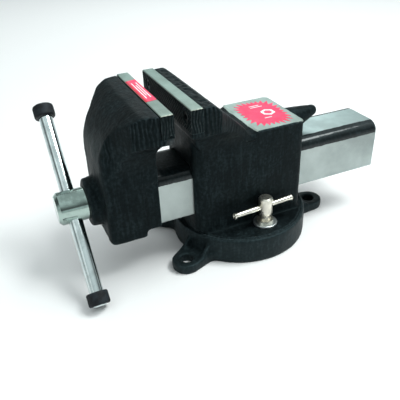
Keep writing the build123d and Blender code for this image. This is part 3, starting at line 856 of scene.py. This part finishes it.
def lock_bar(name, side):
    """Thin bar of a lock screw, with its ends spread and dimpled."""
    turn, back, ahead = math.radians(4.2), 45.8, 39.5
    along = Vector((-side * math.sin(turn), math.cos(turn), 0))
    origin = Vector((side * LOCK_X, LOCK_Y, LOCK_BAR_Z)) - along * back
    end = [(0.0, 1.6), (1.4, 0.9), (2.5, 0.25), (3.3, 0.0), (3.8, 0.15), (4.15, 0.7), (4.15, 1.3),
           (3.85, 2.2), (3.5, 3.1), (3.25, 4.2), (3.2, 5.5)]
    profile = end + [(radius, back + ahead - distance) for radius, distance in reversed(end)]
    mesh = lathe(name + "_lock_handle", profile, origin, along, 40)
    link(name + "_lock_handle", mesh, name + "_lock_handle", name + "_lock_bar", "nickel")


lock_bar("right", 1)
lock_bar("left", -1)

# ---- Labels -------------------------------------------------------------------------

ANVIL_FILM, JAW_FILM, INK = 0.20, 0.22, 0.05       # thickness of the labels and of their print


def flat_shapes(name, shapes, body, node):
    """Thin printed label made of flat outlines: (points in mm, bottom, top, material)."""
    bm = bmesh.new()
    used = []
    for points, bottom, top, material in shapes:
        if material not in used:
            used.append(material)
        base = [bm.verts.new((x * MM, y * MM, bottom * MM)) for x, y in points]
        roof = [bm.verts.new((x * MM, y * MM, top * MM)) for x, y in points]
        made = [bm.faces.new(roof), bm.faces.new(base[::-1])]
        for k in range(len(points)):
            n = (k + 1) % len(points)
            made.append(bm.faces.new((base[k], base[n], roof[n], roof[k])))
        for face in made:
            face.material_index = used.index(material)
    bmesh.ops.recalc_face_normals(bm, faces=bm.faces)
    mesh = bpy.data.meshes.new(name)
    bm.to_mesh(mesh)
    bm.free()
    for material in used:
        mesh.materials.append(MATERIALS[material])
    link(name, mesh, body, node)


def rectangle(left, right, front, rear):
    return [(left, front), (right, front), (right, rear), (left, rear)]


def hexagon(x, y, radius):
    return [(x + radius * math.cos(turn), y + radius * math.sin(turn))
            for turn in (math.pi / 3 * k for k in range(6))]


def starburst():
    """Burst-shaped sticker on the anvil, with a plain ring and bars where printing would be."""
    spikes, roundness = 28, 3.2
    middle_x, middle_y, half_x, half_y = 0.3, 34.0, 41.0, 29.8
    points = []
    for k in range(2 * spikes):
        turn = math.pi * k / spikes + 0.07
        square = abs(math.cos(turn)) ** roundness + abs(math.sin(turn)) ** roundness
        reach = 1.05 - 0.11 * (0.5 + 0.5 * math.sin(2.7 * k + 0.4)) if k % 2 == 0 else 0.78
        reach *= square ** (-0.8 / roundness)
        points.append((middle_x + half_x * reach * math.cos(turn),
                       middle_y + half_y * reach * math.sin(turn)))
    top = ANVIL_TOP + ANVIL_FILM
    shapes = [(points, ANVIL_TOP, top, "red")]
    outer, inner = hexagon(2, 41, 9.5), hexagon(2, 41, 0.62 * 9.5)
    for k in range(6):
        n = (k + 1) % 6
        shapes.append(([outer[k], outer[n], inner[n], inner[k]], top, top + INK, "print"))
    for x, y, length in ((-19, 36, 17), (-23.5, 35, 14), (17, 33, 10)):
        outline = rectangle(x - 0.8, x + 0.8, y - length / 2, y + length / 2)
        shapes.append((outline, top, top + INK, "print"))
    flat_shapes("anvil_sticker", shapes, "rear_jaw", "anvil_label")


def jaw_sticker():
    """Strip sticker on the moving insert, with a darker border and plain bars."""
    top = JAW_TOP + JAW_FILM
    seam = [(-42.5, -122.8), (30.5, -122.8)]
    shapes = [
        ([(-42, -125.2), (31, -125.2), *reversed(seam)], JAW_TOP, top, "red_dark"),
        ([*seam, (28.5, -112.3), (-45, -112.3)], JAW_TOP, top, "red"),
    ]
    for y, start, end in ((-120.6, -33, 21), (-117.8, -24, 12), (-115.2, -33, 19)):
        shapes.append((rectangle(start, end, y - 0.55, y + 0.55), top, top + INK, "print"))
    flat_shapes("jaw_sticker", shapes, "front_jaw", "jaw_label")


starburst()
jaw_sticker()

# ---- Floor, light and world ---------------------------------------------------------

LAMP_COLOUR = (0.93, 1.0, 0.99)
WORLD_COLOUR = (0.86, 0.97, 0.98, 1)
# Height of the direction, from and to, and the strength there: a pale wall, and a bright ceiling
WORLD_RAMPS = ((0.14, 0.30, 0.72, 0.10), (0.25, 0.95, 0.10, 0.90))


def make_stage():
    half = 8.0
    corners = [(x, y, 0) for x, y in rectangle(-half, half, -half, half)]
    mesh = bpy.data.meshes.new("floor")
    mesh.from_pydata(corners, [], [(0, 1, 2, 3)])
    floor = bpy.data.objects.new("floor", mesh)
    floor.location.z = -0.0004
    bpy.context.scene.collection.objects.link(floor)
    n = Nodes("floor")
    mesh.materials.append(n.finish(
        Base_Color=n.blend(n.noise(600), (0.95, 0.92, 0.92), (0.97, 0.94, 0.94)),
        Roughness=0.7,
    ))


def make_light(name, place, target, size, watts):
    data = bpy.data.lights.new(name, "AREA")
    data.shape = "RECTANGLE"
    data.size, data.size_y = size
    data.energy = watts
    data.color = LAMP_COLOUR
    light = bpy.data.objects.new(name, data)
    bpy.context.scene.collection.objects.link(light)
    light.location = place
    light.rotation_mode = "QUATERNION"
    light.rotation_quaternion = (Vector(target) - Vector(place)).to_track_quat("-Z", "Y")


def make_world():
    """Studio whose light depends only on how high a direction points."""
    world = bpy.data.worlds.new("studio")
    bpy.context.scene.world = world
    world.use_nodes = True
    tree = world.node_tree
    background = tree.nodes["Background"]
    place = tree.nodes.new("ShaderNodeTexCoord")
    split = tree.nodes.new("ShaderNodeSeparateXYZ")
    tree.links.new(place.outputs["Generated"], split.inputs[0])
    strength = tree.nodes.new("ShaderNodeMath")
    strength.operation = "MAXIMUM"
    for socket, values in zip(strength.inputs, WORLD_RAMPS):
        ramp = tree.nodes.new("ShaderNodeMapRange")
        ramp.interpolation_type = "SMOOTHSTEP"
        tree.links.new(split.outputs["Z"], ramp.inputs["Value"])
        for name, value in zip(("From Min", "From Max", "To Min", "To Max"), values):
            ramp.inputs[name].default_value = value
        tree.links.new(ramp.outputs[0], socket)
    tree.links.new(strength.outputs[0], background.inputs["Strength"])
    background.inputs["Color"].default_value = WORLD_COLOUR


make_stage()
make_world()
make_light("key", (0.35, 0.75, 1.7), (0, 0, 0.1), (0.8, 0.8), 29)
make_light("side", (0.6, -1.6, 0.9), (0, 0, 0.1), (0.8, 1.4), 2)
make_light("back", (-1.5, 0.65, 1.1), (0, 0, 0.15), (1.2, 0.8), 5)
bpy.context.scene.view_settings.view_transform = "Standard"

# ---- Materials of the CAD nodes that stay ------------------------------------------


def dress(material, *nodes):
    """One material all over each node."""
    for node in nodes:
        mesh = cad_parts[node].data
        if len(mesh.materials) == 0:
            mesh.materials.append(None)
        for index in range(len(mesh.materials)):
            mesh.materials[index] = MATERIALS[material]


dress("chrome", "handle_bar")
dress("nickel", "right_lock_screw", "left_lock_screw")
dress("zinc", "right_lock_washer", "left_lock_washer")
dress("oiled", "spindle_retainer", "retainer_pin", "nut_bolt", "right_lock_nut", "left_lock_nut",
      "spindle_nut")
dress("black_oxide", "rear_insert_screws", "front_insert_screws")

soften(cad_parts["handle_bar"], 0.4)
for name in ("right", "left"):
    soften(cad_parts[name + "_lock_screw"], 0.45)
    soften(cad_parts[name + "_lock_washer"], 0.35)
